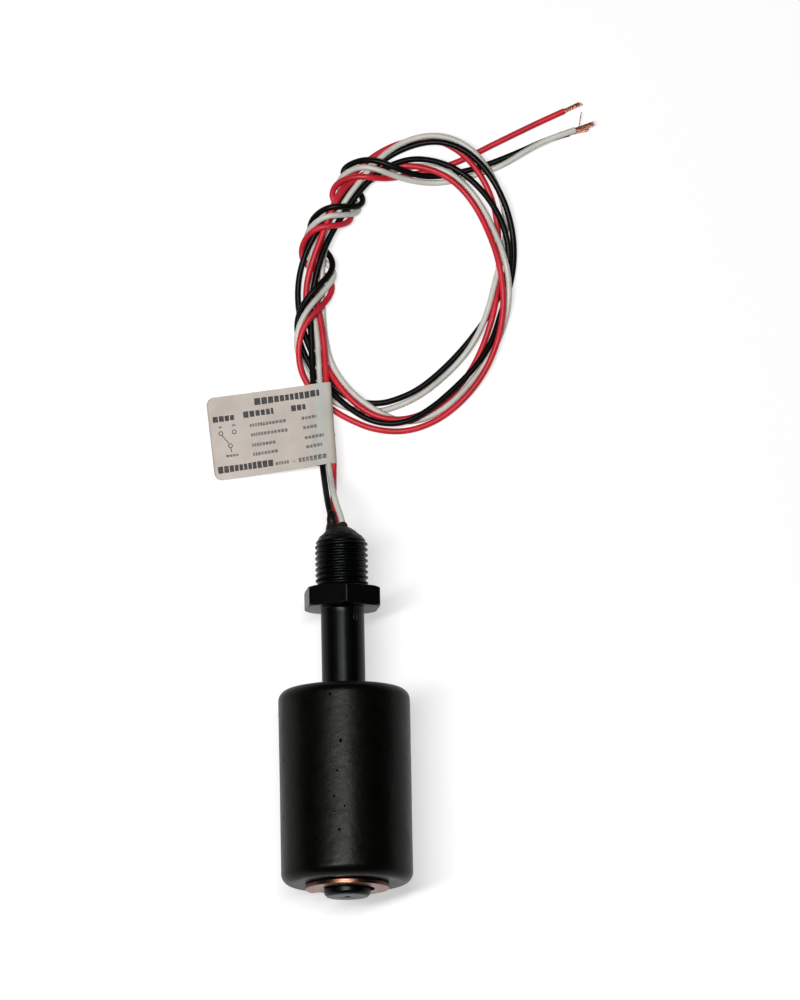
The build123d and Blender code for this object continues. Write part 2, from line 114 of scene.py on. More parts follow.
def noise_of(mat, place, scale, detail=3.0, rough=0.5, stretch=None):
    if stretch:
        mapping = node(mat, "ShaderNodeMapping")
        mapping.inputs["Scale"].default_value = stretch
        link(mat, place, mapping.inputs["Vector"])
        place = mapping.outputs["Vector"]
    made = node(mat, "ShaderNodeTexNoise", Scale=scale, Detail=detail, Roughness=rough)
    link(mat, place, made.inputs["Vector"])
    return made.outputs["Fac"]


def ramp(mat, value, stops):
    made = node(mat, "ShaderNodeValToRGB")
    elements = made.color_ramp.elements
    while len(elements) < len(stops):
        elements.new(0.5)
    for element, (at, colour) in zip(elements, stops):
        element.position = at
        element.color = (*colour, 1) if len(colour) == 3 else colour
    link(mat, value, made.inputs["Fac"])
    return made.outputs["Color"]


def spread(mat, value, low, high, start=0.0, end=1.0):
    """Takes a value that runs from start to end to one that runs from low to high."""
    made = node(mat, "ShaderNodeMapRange", From_Min=start, From_Max=end, To_Min=low, To_Max=high)
    link(mat, value, made.inputs["Value"])
    return made.outputs["Result"]


def axis_of(mat, place, name):
    parts = node(mat, "ShaderNodeSeparateXYZ")
    link(mat, place, parts.inputs["Vector"])
    return parts.outputs[name]


def maths(mat, operation, first, second=None):
    made = node(mat, "ShaderNodeMath", operation=operation)
    for socket, value in zip(made.inputs, (first, second)):
        if value is None:
            continue
        if isinstance(value, (int, float)):
            socket.default_value = value
        else:
            link(mat, value, socket)
    return made.outputs["Value"]


def bump(mat, shader, height, depth, strength=1.0):
    """Adds a relief, depth in millimetres, on top of those that the shader has."""
    made = node(mat, "ShaderNodeBump", Distance=depth * MM, Strength=strength)
    link(mat, height, made.inputs["Height"])
    before = shader.inputs["Normal"]
    if before.is_linked:
        link(mat, before.links[0].from_socket, made.inputs["Normal"])
    link(mat, made.outputs["Normal"], before)


def plug_material():
    mat, shader, place = new_material("plug_plastic", 0.34, specular=0.2,
                                      Specular_Tint=(0.88, 1.0, 0.95, 1.0))
    cloud = noise_of(mat, place, 120, 4)
    link(mat, ramp(mat, cloud, [(0.3, (0.0006, 0.0007, 0.0007)), (0.7, (0.0014, 0.0016, 0.0016))]),
         shader.inputs["Base Color"])
    drawn = noise_of(mat, place, 900, 3, stretch=(1, 0.12, 1))
    link(mat, spread(mat, drawn, 0.26, 0.38), shader.inputs["Roughness"])
    bump(mat, shader, noise_of(mat, place, 4200, 2), 0.012)
    bump(mat, shader, noise_of(mat, place, 260, 3), 0.05, 0.5)
    return mat


def foam_material():
    mat, shader, place = new_material("float_foam", 0.4, specular=0.18,
                                      Specular_Tint=(1.0, 1.0, 0.92, 1.0))
    cloud = noise_of(mat, place, 90, 4)
    colour = ramp(mat, cloud, [(0.3, (0.0007, 0.0006, 0.0005)), (0.68, (0.0016, 0.0014, 0.001))])
    link(mat, colour, shader.inputs["Base Color"])
    worn = noise_of(mat, place, 260, 5, 0.6)
    link(mat, spread(mat, worn, 0.27, 0.46), shader.inputs["Roughness"])
    cells = node(mat, "ShaderNodeTexVoronoi", Scale=230.0, Randomness=1.0)
    link(mat, place, cells.inputs["Vector"])
    pits = maths(mat, "LESS_THAN", cells.outputs["Distance"], 0.085)
    sparse = maths(mat, "GREATER_THAN", noise_of(mat, place, 150, 2), 0.56)
    bump(mat, shader, maths(mat, "MULTIPLY", maths(mat, "MULTIPLY", pits, sparse), -1.0), 0.12)
    bump(mat, shader, noise_of(mat, place, 3600, 3, 0.6), 0.02)
    bump(mat, shader, noise_of(mat, place, 160, 4, 0.6), 0.3, 0.5)
    return mat


def copper_material():
    mat, shader, place = new_material("clip_copper", 0.3, metal=1.0, specular=0.5)
    tarnish = noise_of(mat, place, 260, 4, 0.6)
    link(mat, ramp(mat, tarnish, [(0.3, (0.10, 0.045, 0.03)), (0.5, (0.20, 0.10, 0.068)),
                                  (0.75, (0.32, 0.18, 0.125))]), shader.inputs["Base Color"])
    link(mat, spread(mat, noise_of(mat, place, 700, 3), 0.2, 0.46), shader.inputs["Roughness"])
    bump(mat, shader, noise_of(mat, place, 2600, 2, stretch=(0.15, 1, 1)), 0.012)
    return mat


def potting_material():
    """Black resin, brown round the place where the leads come out."""
    mat, shader, place = new_material("potting_resin", 0.42, specular=0.3)
    along = axis_of(mat, place, "Y")
    rise = spread(mat, along, 0.0, 1.0, (LEAD_EXIT - 2.4) * MM, (LEAD_EXIT + 0.2) * MM)
    fall = spread(mat, along, 1.0, 0.35, (LEAD_EXIT + 0.2) * MM, (LEAD_EXIT + 1.2) * MM)
    brown = maths(mat, "MULTIPLY", rise, fall)
    cloud = maths(mat, "MULTIPLY", noise_of(mat, place, 420, 4, 0.6), brown)
    link(mat, ramp(mat, cloud, [(0.05, (0.0012, 0.0011, 0.001)), (0.38, (0.012, 0.009, 0.007)),
                                (0.75, (0.07, 0.052, 0.038))]), shader.inputs["Base Color"])
    link(mat, spread(mat, noise_of(mat, place, 900, 3), 0.3, 0.6), shader.inputs["Roughness"])
    bump(mat, shader, noise_of(mat, place, 700, 4), 0.12, 0.7)
    return mat


def lead_material(name, dark, light, rough=0.42, specular=0.45):
    mat, shader, place = new_material(name, rough, specular=specular)
    cloud = noise_of(mat, place, 130, 4, 0.55)
    link(mat, ramp(mat, cloud, [(0.3, dark), (0.7, light)]), shader.inputs["Base Color"])
    grime = noise_of(mat, place, 700, 3)
    link(mat, spread(mat, grime, rough - 0.09, rough + 0.12), shader.inputs["Roughness"])
    bump(mat, shader, noise_of(mat, place, 1500, 3), 0.02)
    bump(mat, shader, noise_of(mat, place, 240, 2), 0.07, 0.6)
    return mat


def strand_material():
    mat, shader, place = new_material("copper_strands", 0.36, metal=1.0, specular=0.5)
    link(mat, ramp(mat, noise_of(mat, place, 900, 3), [(0.3, (0.42, 0.19, 0.13)),
                                                       (0.7, (0.74, 0.42, 0.31))]),
         shader.inputs["Base Color"])
    bump(mat, shader, noise_of(mat, place, 5000, 2), 0.01)
    return mat


def paper_material():
    """Beige paper, with painted shade: a cooler grey-green band beside the fold, where the paper
    bends over the leads.
    """
    mat, shader, place = new_material("label_paper", 0.48, specular=0.35)
    cloud = noise_of(mat, place, 110, 5, 0.6)
    paper = ramp(mat, cloud, [(0.3, (0.50, 0.445, 0.40)), (0.55, (0.56, 0.505, 0.455)),
                              (0.75, (0.61, 0.555, 0.505))])
    # Painted shade: a cool band across the front leaf where the paper bends over the leads beside
    # the fold.
    across = spread(mat, axis_of(mat, place, "X"), 0.0, 1.0, -7.2 * MM, -2.9 * MM)
    painted_shade_band = ramp(mat, across, [(0.0, (0, 0, 0)), (0.35, (0.55, 0.55, 0.55)),
                              (0.6, (0.6, 0.6, 0.6)), (1.0, (0.1, 0.1, 0.1))])
    mix = node(mat, "ShaderNodeMix", data_type="RGBA")
    # The node's sockets for colours: other kinds of value have their own under the same names.
    first, second, result = mix.inputs[6], mix.inputs[7], mix.outputs[2]
    link(mat, painted_shade_band, mix.inputs["Factor"])
    link(mat, paper, first)
    # The painted shade's cool grey-green colour.
    second.default_value = (0.46, 0.53, 0.50, 1)
    link(mat, result, shader.inputs["Base Color"])
    fibres = noise_of(mat, place, 3000, 4, 0.65)
    bump(mat, shader, fibres, 0.02)
    bump(mat, shader, noise_of(mat, place, 120, 2), 0.1, 0.5)
    link(mat, spread(mat, fibres, 0.4, 0.58), shader.inputs["Roughness"])
    return mat


def ink_material(name, tone):
    mat, shader, place = new_material(name, 0.6, specular=0.2)
    worn = noise_of(mat, place, 2600, 3, 0.6)
    colours = [tuple(c * tone for c in colour) for colour in
               ((0.05, 0.05, 0.052), (0.095, 0.093, 0.092), (0.19, 0.175, 0.16))]
    link(mat, ramp(mat, worn, list(zip((0.3, 0.55, 0.75), colours))), shader.inputs["Base Color"])
    bump(mat, shader, worn, 0.01)
    return mat


def plain_inner(name, dark, light, rough=0.4, metal=0.0, **sockets):
    """A material for what is mostly out of sight."""
    mat, shader, place = new_material(name, rough, metal, **sockets)
    link(mat, ramp(mat, noise_of(mat, place, 600, 3), [(0.3, dark), (0.7, light)]),
         shader.inputs["Base Color"])
    link(mat, spread(mat, noise_of(mat, place, 1800, 3), rough - 0.08, rough + 0.12),
         shader.inputs["Roughness"])
    bump(mat, shader, noise_of(mat, place, 2400, 3), 0.01)
    return mat


MATERIALS = {
    "plug_plastic": plug_material(),
    "float_foam": foam_material(),
    # Painted shade: near black with almost no reflection, for the shade inside the float's open
    # cells.
    "pore_painted_shade": plain_inner("pore_painted_shade", (0.0003, 0.0003, 0.0003), (0.001, 0.0009, 0.0008),
                              0.8, specular=0.02),
    "clip_copper": copper_material(),
    "potting_resin": potting_material(),
    "insulation_red": lead_material("insulation_red", (0.46, 0.017, 0.032), (0.67, 0.028, 0.05)),
    "insulation_white": lead_material("insulation_white", (0.50, 0.495, 0.455), (0.66, 0.65, 0.60)),
    "insulation_black": lead_material("insulation_black", (0.0025, 0.0024, 0.0023),
                                      (0.006, 0.0056, 0.005), 0.36, 0.18),
    "copper_strands": strand_material(),
    "label_paper": paper_material(),
    "magnet_ferrite": plain_inner("magnet_ferrite", (0.02, 0.02, 0.022), (0.06, 0.06, 0.062), 0.5),
    "reed_glass": plain_inner("reed_glass", (0.80, 0.90, 0.85), (0.86, 0.94, 0.9), 0.12,
                              Transmission_Weight=0.9),
    "reed_metal": plain_inner("reed_metal", (0.55, 0.53, 0.48), (0.7, 0.68, 0.62), 0.3, 1.0),
    "cushion_rubber": plain_inner("cushion_rubber", (0.03, 0.03, 0.03), (0.06, 0.06, 0.06), 0.6),
    "shrink_sleeve": plain_inner("shrink_sleeve", (0.012, 0.012, 0.012), (0.03, 0.03, 0.03), 0.45),
}
INK = {"bold": ink_material("label_ink", 1.0), "fine": ink_material("label_fine_ink", 2.4)}

# The solids that stay as they are, and their materials.
NODE_SLOTS = {
    "retaining_clip": "clip_copper", "float_magnet": "magnet_ferrite", "reed_glass": "reed_glass",
    "reed_blade": "reed_metal", "reed_common": "reed_metal", "reed_contact_closed": "reed_metal",
    "reed_contact_open": "reed_metal", "reed_return": "insulation_black",
    "reed_cushion": "cushion_rubber", "joint_red": "shrink_sleeve",
    "joint_white": "shrink_sleeve", "joint_black": "shrink_sleeve",
}
for name, slot in NODE_SLOTS.items():
    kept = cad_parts[name]
    if not kept.material_slots:
        kept.data.materials.append(MATERIALS[slot])
    for held in kept.material_slots:
        held.material = MATERIALS[slot]


# Mesh helpers.
def add_mesh(name, skin, slot, body, smooth=35.0, replaces=()):
    """A piece from a Surface in millimetres, with edges above smooth degrees kept sharp."""
    mesh = bpy.data.meshes.new(name)
    mesh.from_pydata([(x * MM, y * MM, z * MM) for x, y, z in skin.points], [], skin.faces)
    mesh.validate()
    mesh.materials.append(MATERIALS[slot] if slot in MATERIALS else INK[slot])
    piece = bpy.data.objects.new(name, mesh)
    scene.collection.objects.link(piece)
    mesh.shade_smooth()
    if smooth:
        mesh.set_sharp_from_angle(angle=radians(smooth))
    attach(piece, body)
    if replaces:
        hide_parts(*replaces)
    return piece


class Surface:
    """Points and faces gathered from several turned or lofted skins."""

    def __init__(self):
        self.points, self.faces = [], []

    def rings(self, rings, closed=True, cap_start=False, cap_end=False):
        base = len(self.points)
        count = len(rings[0])
        for ring in rings:
            self.points.extend(ring)
        wrap = count if closed else count - 1
        for i in range(len(rings) - 1):
            for j in range(wrap):
                a = base + i * count + j
                b = base + i * count + (j + 1) % count
                self.faces.append((a, b, b + count, a + count))
        for end, wanted in ((0, cap_start), (len(rings) - 1, cap_end)):
            if wanted:
                ids = [base + end * count + j for j in range(count)]
                self.faces.append(ids if end else ids[::-1])


def round_stem(a, r, angle):
    """The point at distance a from the stem's free end and r from its axis."""
    return (r * cos(angle), STEM_START + a, AXIS_Z + r * sin(angle))


def around(count):
    return [2 * pi * j / count for j in range(count)]


def turned(profile, segments=128, radius=None):
    """Rings round the stem's axis: profile is (distance from the free end, radius)."""
    return [[round_stem(a, radius(a, r, angle) if radius else r, angle)
             for angle in around(segments)] for a, r in profile]


def arc(a, r, radius, start, end, steps=6):
    """Points (distance, radius) along an arc round (a, r), angles from the axis in degrees."""
    turns = [radians(start + (end - start) * i / steps) for i in range(steps + 1)]
    return [(a + radius * cos(t), r + radius * sin(t)) for t in turns]


# Plug and stem.
HEX_FLATS, HEX_TURN = 19.0, radians(22.8)
HEX_CORNER_CUT, HEX_CHAMFER = 0.9, radians(30.0)
# The hexagon's softened edges, as (inset, depth from the end face).
HEX_EDGE = ((0.30, 0.0), (0.12, 0.03), (0.04, 0.1), (0.0, 0.22))
THREAD_PITCH, THREAD_CREST, THREAD_ROOT = 1.5, 7.0, 6.35
THREAD_LEAD_IN, THREAD_LEAD_LENGTH, THREAD_FOOT = 1.06, 1.5, 0.7


def hex_radius(angle, rounding=0.22):
    """The hexagon's outline, its corners slightly rounded, as a radius."""
    total = 0.0
    for k in range(6):
        facing = cos(angle - HEX_TURN - pi / 2 - k * pi / 3)
        if facing > 0.05:
            total += (facing / (HEX_FLATS / 2)) ** (1 / (rounding * 0.06))
    return total ** (-rounding * 0.06)


def hex_size(a, inset, angle):
    """The hexagon's radius at a, its corners cut by a cone at both ends."""
    end = min(a - HEX_LOW, HEX_HIGH - a)
    corner = HEX_FLATS / 2 / cos(pi / 6) - HEX_CORNER_CUT
    cone = corner + max(end, 0) / tan(HEX_CHAMFER)
    return min(hex_radius(angle), cone) - inset


def thread_size(a, r, angle):
    """A right-hand thread: crest flat, 60 degree flanks, rounded root."""
    phase = ((a + THREAD_PITCH * angle / (2 * pi)) / THREAD_PITCH) % 1.0
    away = min(phase, 1 - phase)
    share = min(max((away - 0.07) / 0.34, 0.0), 1.0)
    share = share * share * (3 - 2 * share) * 0.35 + share * 0.65
    size = THREAD_CREST - (THREAD_CREST - THREAD_ROOT) * share
    past = max(a - THREAD_END + THREAD_LEAD_LENGTH, 0) / THREAD_LEAD_LENGTH
    size = min(size, THREAD_CREST - THREAD_LEAD_IN * past + 0.03 * sin(5 * angle))
    foot = min(max((a - HEX_HIGH) / THREAD_FOOT, 0.0), 1.0)
    return THREAD_ROOT + (size - THREAD_ROOT) * foot


def stem_size(a, r, angle):
    """The stem's radius, slightly uneven and with a faint parting line."""
    if r < STEM_RADIUS - 0.05 or a < 4.2:
        return r
    wave = noise.noise(Vector((cos(angle) * 1.2, a * 0.12, sin(angle) * 1.2)))
    parting = 0.035 * max(0.0, 1 - abs(angle - radians(104)) / 0.03)
    return r + 0.02 * wave + parting


def build_plug():
    skin = Surface()
    collar = COLLAR_RADIUS
    stem = [(0.42, 0.001), (0.38, 0.35), (0.22, 0.62), (0.06, 0.76), (0.0, 0.92), (0.0, 3.2),
            (0.0, 5.35), (0.05, 5.5), (0.6, 6.05), (0.75, 6.13), (0.95, collar), (1.9, collar)]
    stem += [(CLIP_SEAT, 6.08), (CLIP_SEAT, GROOVE_RADIUS), (CLIP_TOP, GROOVE_RADIUS),
             (CLIP_TOP, 6.08), (3.15, collar), (3.8, collar), (3.95, 6.0), (4.05, 5.8)]
    low, high, steps = 4.3, 76.7, 60
    stem += [(low + (high - low) * i / steps, STEM_RADIUS) for i in range(steps + 1)]
    stem += arc(76.65, 6.25, 0.5, -80, -5, 5)
    stem += [(HEX_LOW, 6.9)]
    skin.rings(turned(stem, 144, stem_size))

    soft = HEX_EDGE[-1][1]
    sides = [(HEX_LOW + depth, inset) for inset, depth in HEX_EDGE]
    sides += [(HEX_LOW + soft + (HEX_HIGH - HEX_LOW - 2 * soft) * i / 22, 0.0)
              for i in range(1, 22)]
    sides += [(HEX_HIGH - depth, inset) for inset, depth in HEX_EDGE[::-1]]
    rings = turned([(HEX_LOW, 6.9)], 240) + turned(sides, 240, hex_size)
    skin.rings(rings + turned([(HEX_HIGH, 6.0)], 240))

    count = int((THREAD_END - HEX_HIGH) / 0.085)
    rows = [(HEX_HIGH + (THREAD_END - HEX_HIGH) * i / count, 0.0) for i in range(count + 1)]
    mouth = [(THREAD_END + 0.02, 5.7), (THREAD_END, 4.9), (THREAD_END - 1.0, 4.1)]
    skin.rings(turned(rows, 144, thread_size) + turned(mouth, 144))
    add_mesh("plug_body", skin, "plug_plastic", "plug", 32, ["plug_stem"])


build_plug()


def build_run():
    """A drop of resin that ran from the hexagon on to the stem."""
    skin = Surface()
    middle, stem, length = radians(52.6), STEM_RADIUS - 0.03, 4.0
    share = [0.0, 0.06, 0.2, 0.45, 0.75, 1.0]
    rings = []
    for i in range(19):
        t = i / 18
        half = np.interp(t, share, [0.03, 0.4, 0.72, 0.55, 0.4, 0.5])
        lift = np.interp(t, share, [0.02, 0.13, 0.22, 0.16, 0.1, 0.12])
        a = HEX_LOW - length + (length + 0.05) * t
        rings.append([round_stem(a, stem + sin(turn) * (lift if sin(turn) > 0 else 0.1),
                                 middle - half * cos(turn) / stem + 0.02 * sin(4 * t))
                      for turn in around(16)])
    skin.rings(rings, cap_start=True, cap_end=True)
    add_mesh("stem_run", skin, "potting_resin", "plug", 60)


build_run()


# Float.
def foam_waves(a, angle):
    """How far the float's skin stands off its radius there."""
    point = Vector((cos(angle) * 2.2, a * 0.09, sin(angle) * 2.2))
    return 0.06 * noise.noise(point) + 0.015 * noise.noise(point * 6) - 0.05


def foam_size(a, r, angle):
    return r if r < FLOAT_BORE + 0.2 else r + foam_waves(a, angle)


def build_float():
    skin = Surface()
    outer, bore, edge = FLOAT_RADIUS, FLOAT_BORE, FLOAT_EDGE
    low, high = FLOAT_LOW, FLOAT_HIGH
    profile = [(low + 1.2, bore), (low + 0.55, bore), (low + 0.1, bore + 0.5), (low, bore + 0.72)]
    profile += [(low, bore + 1.0 + i) for i in range(7)]
    profile += [(low, outer - edge)]
    profile += arc(low + edge, outer - edge, edge, 180, 90, 14)[1:]
    length = high - low - 2 * edge
    profile += [(low + edge + length * i / 70, outer) for i in range(1, 70)]
    profile += arc(high - edge, outer - edge, edge, 90, 0, 14)
    profile += [(high, outer - edge - 1.0 - i) for i in range(7)]
    profile += [(high, bore + 0.72), (high - 0.1, bore + 0.5), (high - 0.55, bore),
                (high - 1.2, bore)]
    profile += [(high - 1.2 - (high - low - 2.4) * i / 6, bore) for i in range(1, 7)]
    skin.rings(turned(profile, 220, foam_size))
    add_mesh("float_foam", skin, "float_foam", "float_body", 50, ["float"])


build_float()


def build_pore_shade_discs():
    """Dark discs of painted shade on the float's skin, for the shade inside its open cells, where
    the photograph shows them and here and there all round: (degrees from straight up,
    distance from the free end, size)."""
    seen = [(-12, 51.6, 0.40), (-3.5, 39.0, 0.46), (-7, 31.0, 0.32), (-10, 24.2, 0.34),
            (-1, 21.5, 0.28), (-6, 15.2, 0.42), (4, 33.5, 0.24), (-31, 44.0, 0.26),
            (22, 27.0, 0.28), (33, 46.5, 0.26), (-28, 13.2, 0.3), (-9.5, 20.1, 0.22)]
    others = [(47 + 61.3 * k % 250, 8 + 17.7 * k % 43, 0.24 + 0.05 * (k % 4)) for k in range(22)]
    # Each disc is painted shade, a little above the skin, not a hollow in it.
    skin = Surface()
    for turn, along, size in seen + others:
        rings = []
        for reach, lift in ((1.0, -0.02), (0.8, 0.025), (0.45, 0.02), (0.02, 0.012)):
            ring = []
            for spot in around(14):
                rough = size * reach * (1 + 0.16 * sin(3 * spot + turn)
                                        + 0.1 * sin(5 * spot + along))
                angle = radians(90 - turn) + rough * cos(spot) / FLOAT_RADIUS
                a = along + 1.15 * rough * sin(spot)
                ring.append(round_stem(a, FLOAT_RADIUS + foam_waves(a, angle) + lift, angle))
            rings.append(ring)
        skin.rings(rings, cap_end=True)
    shade_discs = add_mesh("pore_shade_discs", skin, "pore_painted_shade", "float_body", 60)


build_pore_shade_discs()


# Potting.
# The cone, as (distance past the thread's end, radius), and how far its tip leans.
CONE = [(-0.9, 5.75), (0.0, 5.72), (0.45, 5.5), (1.05, 5.0), (1.75, 4.25), (2.35, 3.45),
        (2.9, 2.65), (3.25, 2.0), (3.42, 1.2), (3.45, 0.02)]
CONE_LEAN = (-0.9, 0.2)
# Where the resin has crept along a lead: across, height, reach past LEAD_EXIT, radius, drift.
COLLARS = ((-2.36, 17.9, 4.6, 1.28, -0.35), (0.5, 18.55, 1.0, 1.15, 0.0),
           (-0.55, 16.25, 0.9, 1.1, 0.0))
COLLAR_FOOT = 1.2


def build_potting():
    skin = Surface()
    rings = []
    steps = 34
    for i in range(steps + 1):
        t = i / steps
        at = t * (len(CONE) - 1)
        a, radius = (float(np.interp(at, range(len(CONE)), column)) for column in zip(*CONE))
        a += THREAD_END
        ring = []
        for angle in around(96):
            point = Vector((cos(angle) * 1.5, a * 0.8, sin(angle) * 1.5))
            lump = 1 + 0.07 * noise.noise(point) + 0.03 * noise.noise(point * 3)
            x, y, z = round_stem(a, radius * lump, angle)
            ring.append((x + CONE_LEAN[0] * t * t, y, z + CONE_LEAN[1] * t * t))
        rings.append(ring)
    skin.rings(rings, cap_end=True)
    for x, z, reach, thick, side in COLLARS:
        rings = []
        for i in range(15):
            t = i / 14
            y = LEAD_EXIT - COLLAR_FOOT + (reach + COLLAR_FOOT) * t
            radius = (thick + 0.5 * (1 - t) ** 3) * (1 - t ** 4) ** 0.5 + 0.005
            drift = side * t * t
            ring = []
            for angle in around(28):
                point = Vector((cos(angle) + x, y * 0.9, sin(angle) + z))
                r = radius * (1 + 0.16 * noise.noise(point))
                ring.append((x + drift + r * cos(angle), y, z + r * sin(angle) - abs(drift) * 0.8))
            rings.append(ring)
        skin.rings(rings)
    add_mesh("potting_mound", skin, "potting_resin", "plug", 60, ["potting"])


build_potting()


# Leads.
LEAD_RADIUS = 0.8
LAYER_HEIGHT = 1.55

# Each lead's way out of the potting, and then its tail: across, along from LEAD_EXIT, height.
START_ROUTES = {
    "black": [
        (-2.27, -10.0, 17.9), (-2.25, -4.5, 17.95), (-2.45, 1.5, 17.85), (-3.35, 6.3, 15.9),
        (-3.9, 10.9, 11.4), (-4.35, 15.5, 6.9), (-4.9, 21.0, 5.8), (-5.62, 28.0, 4.88),
        (-6.2, 35.0, 4.1), (-6.9, 42.5, 3.15), (-7.0, 47.5, 2.9),
    ],
    "white": [
        (1.45, -10.0, 19.2), (0.95, -4.5, 18.75), (0.4, 1.3, 18.35), (-1.3, 6.5, 16.5),
        (-2.1, 10.9, 12.3), (-2.65, 15.3, 7.1), (-3.2, 21.0, 5.8), (-3.92, 28.0, 4.88),
        (-4.5, 35.0, 4.1), (-5.15, 42.5, 3.12), (-5.25, 47.5, 2.9),
    ],
    "red": [
        (0.8, -10.0, 15.35), (0.2, -4.5, 15.9), (-0.7, 1.3, 16.3), (-2.0, 6.3, 13.9),
        (-1.8, 10.9, 9.7), (-1.75, 15.3, 5.8), (-1.6, 21.0, 5.7), (-2.22, 28.0, 4.88),
        (-2.8, 35.0, 4.1), (-3.4, 42.5, 3.15), (-3.5, 47.5, 2.9),
    ],
}
TAIL_ROUTES = {
    "red": [
        (36.0, 102.1, 0.9), (40.7, 104.4, 0.86), (45.3, 106.6, 0.88), (50.4, 109.0, 0.86),
        (55.8, 111.5, 0.88), (61.3, 113.9, 0.86),
    ],
    "black": [
        (37.5, 98.6, 0.86), (41.6, 100.1, 0.88), (46.0, 101.75, 0.86), (50.5, 103.6, 0.88),
        (54.8, 105.5, 0.86), (58.8, 106.9, 0.88), (62.5, 107.8, 0.86),
    ],
    "white": [
        (39.0, 97.3, 0.86), (43.0, 98.8, 0.86), (47.0, 100.75, 1.6), (51.2, 103.2, 2.4),
        (55.4, 105.35, 2.5), (60.0, 107.1, 2.6), (64.2, 108.5, 2.3),
    ],
}

# Stations round the loop, clockwise from the label's corner, at the middle of the bundle.
RING = [
    (-6.4, 104.0), (-7.0, 111.0), (-6.4, 118.0), (-5.0, 125.0), (-2.4, 132.0),
    (1.4, 139.0), (6.2, 145.0), (12.5, 149.5), (19.5, 152.5), (26.5, 153.0), (33.0, 150.5),
    (38.3, 146.0), (42.2, 139.5), (44.3, 132.0), (45.0, 124.5), (44.6, 117.0), (43.2, 109.5),
    (40.5, 102.0), (36.2, 95.0), (30.5, 89.0), (24.0, 84.0), (17.0, 81.3), (10.0, 81.8),
    (4.0, 85.0), (-0.6, 89.5), (-4.2, 96.5),
]

# Each lead's place at the stations, on its first turn and then its second:
# millimetres outwards from the ring, and layers up from the surface.
TURNS = {
    "red": [
        [(-2.6, 2.0), (-2.4, 1.5), (-0.6, 1.0), (0.4, 1.0), (0.6, 1.0), (1.6, 0.7), (2.3, 0.5),
         (3.5, 0.0), (3.6, 0.0), (3.9, 0.2), (2.0, 0.8), (0.4, 1.1), (-0.4, 0.9),
         (-1.2, 0.0), (-1.5, 0.0), (-1.4, 0.3), (-1.4, 0.4), (-1.3, 0.4), (0.0, 0.0),
         (1.0, 0.0), (1.1, 0.0), (0.9, 0.4), (0.2, 1.2), (-0.7, 1.2), (-0.9, 0.7), (-0.9, 0.2)],
        [(-0.4, 0.6), (0.9, 0.8), (1.5, 1.9), (0.6, 2.1), (0.6, 1.9), (1.5, 1.8), (1.5, 1.8),
         (-0.6, 0.9), (-2.9, 0.9), (-5.0, 1.3), (-5.5, 1.5), (-5.6, 1.8), (-5.0, 2.2),
         (-4.1, 2.6), (-2.4, 2.8), (-0.9, 2.7), (0.8, 2.2), (1.8, 1.5), (2.9, 0.7), (3.6, 0.2),
         (3.8, 0.0), (3.7, 0.0), (3.4, 0.0), (3.5, 0.0)],
    ],
    "white": [
        [(-1.0, 2.0), (-0.8, 1.6), (0.9, 1.0), (2.0, 1.0), (1.8, 1.0), (-0.6, 0.8),
         (-1.2, 0.8),
         (-2.2, 0.7), (-3.4, 0.4), (-4.9, 0.3), (-4.3, 0.5), (-4.3, 1.0), (-3.7, 1.4),
         (-2.7, 2.0), (-0.6, 2.4), (1.1, 2.3), (1.8, 1.6), (1.9, 0.7), (1.7, 0.4), (2.0, 0.6),
         (2.0, 0.8), (1.5, 0.2), (-1.6, 0.7), (-2.4, 0.8), (-2.4, 1.0), (-1.6, 0.6)],
        [(-2.9, 1.0), (-2.7, 1.0), (-2.2, 1.0), (-1.3, 1.0), (-1.2, 1.1), (-0.5, 1.8), (-0.2, 1.8),
         (2.2, 0.9), (3.5, 1.2), (4.8, 1.2), (4.9, 1.0), (3.0, 0.7), (2.2, 0.3), (1.5, 0.0),
         (-0.6, 0.3), (-2.8, 0.8), (-3.0, 1.0), (-3.6, 0.8), (-4.1, 0.4), (-4.4, 0.2),
         (-4.3, 0.2), (-4.0, 0.2), (-1.2, 0.0), (0.9, 0.0)],
    ],
    "black": [
        [(0.3, 2.0), (0.5, 1.8), (-1.0, 1.9), (-0.9, 2.0), (-1.3, 1.8), (-1.9, 1.7), (-1.8, 1.7),
         (-1.5, 1.2), (-1.9, 1.4), (-2.8, 1.4), (-2.4, 1.5), (-2.1, 1.6), (-0.9, 2.0),
         (0.2, 1.8), (0.9, 0.9), (-0.3, 0.0), (-2.7, 0.0), (-4.3, 0.0), (-5.5, 0.0), (-5.9, 0.0),
         (-5.8, 0.0), (-6.0, 0.0), (-3.9, 0.0), (-1.7, 0.0), (-0.2, 0.0), (0.8, 0.0)],
        [(2.2, 0.8), (3.4, 1.0), (3.8, 1.4), (3.3, 1.8), (2.0, 1.4), (0.5, 0.8), (0.6, 0.8),
         (0.8, 1.0), (1.9, 1.3), (3.1, 1.3), (3.1, 1.6), (2.4, 1.8), (2.2, 1.6), (2.2, 1.4),
         (1.9, 0.8), (1.2, 0.2), (-0.3, 0.4), (0.9, 0.8), (0.1, 1.1), (-0.2, 1.1), (0.3, 1.1),
         (1.6, 1.0), (1.7, 0.6), (1.4, 0.3)],
    ],
}

